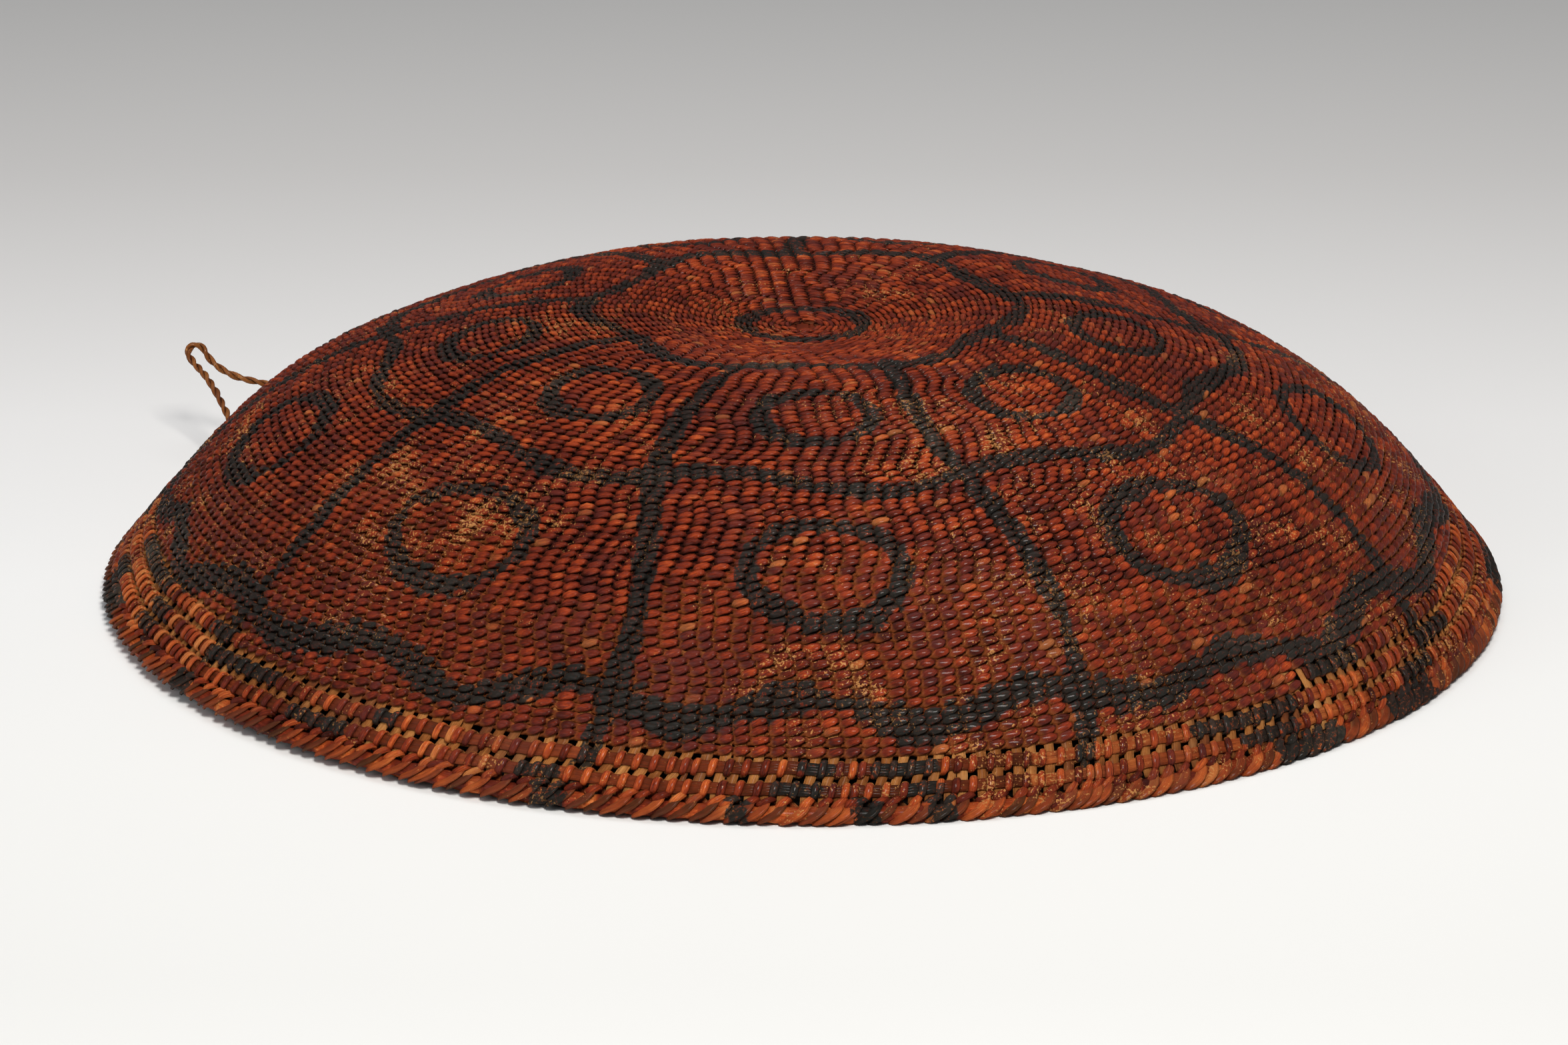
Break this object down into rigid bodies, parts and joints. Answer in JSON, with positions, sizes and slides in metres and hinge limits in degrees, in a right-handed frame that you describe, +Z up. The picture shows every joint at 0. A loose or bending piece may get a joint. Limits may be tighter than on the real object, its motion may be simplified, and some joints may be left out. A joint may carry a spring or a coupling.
{
  "type": "twined cane hat",
  "caption": "Shallow domed hat of twined cane: painted close weave, two spaced border rows, a braided edge and a stiff cord loop at the rim.",
  "frame": {"origin": "on the dome's axis, level with the underside of the rim", "axes": "+Z up along the dome's axis, -Y to the front, cord loop at the left rear (-X, +Y)"},
  "size_m": [0.4199, 0.42, 0.0856],
  "materials": {
    "red_weft": "red-brown paint over cane, glossy, worn, with dusty black painted lines",
    "plain_splint": "plain flat splint, satin",
    "border_cane": "orange-brown cane with worn red paint",
    "edge_cane": "orange-tan split cane, worn and glossy",
    "head_ring_cane": "unpainted cane, satin",
    "cord_cane": "twisted brown cane cord, waxy"
  },
  "bodies": {
    "hat": {"start_splints_lengthwise": "plain_splint", "start_splints_crosswise": "plain_splint", "warps_first": "plain_splint", "warps_added_crown": "plain_splint", "warps_added_shoulder": "plain_splint", "warps_added_side": "plain_splint", "weft_start": "red_weft", "weft_crown": "red_weft", "weft_shoulder": "red_weft", "weft_upper_side": "red_weft", "weft_lower_side": "red_weft", "weft_front_rows": "red_weft", "border_band_third": "border_cane", "border_lashing_third": "border_cane", "border_band_upper": "border_cane", "border_lashing_upper": "border_cane", "border_band_lower": "border_cane", "border_lashing_lower": "border_cane", "edge_braid": "edge_cane", "head_ring": "head_ring_cane", "head_ring_ties": "head_ring_cane", "cord_tie_left": "cord_cane", "cord_tie_rear": "cord_cane"},
    "cord": {"cord_loop": "cord_cane"}
  },
  "joints": [
    {"name": "cord_loop_swing", "type": "hinge", "parent": "hat", "child": "cord", "pos_m": [-0.16468, 0.11747, 0.01365], "axis": [0.5805, 0.8143, 0], "range_deg": [-20, 85]}
  ]
}
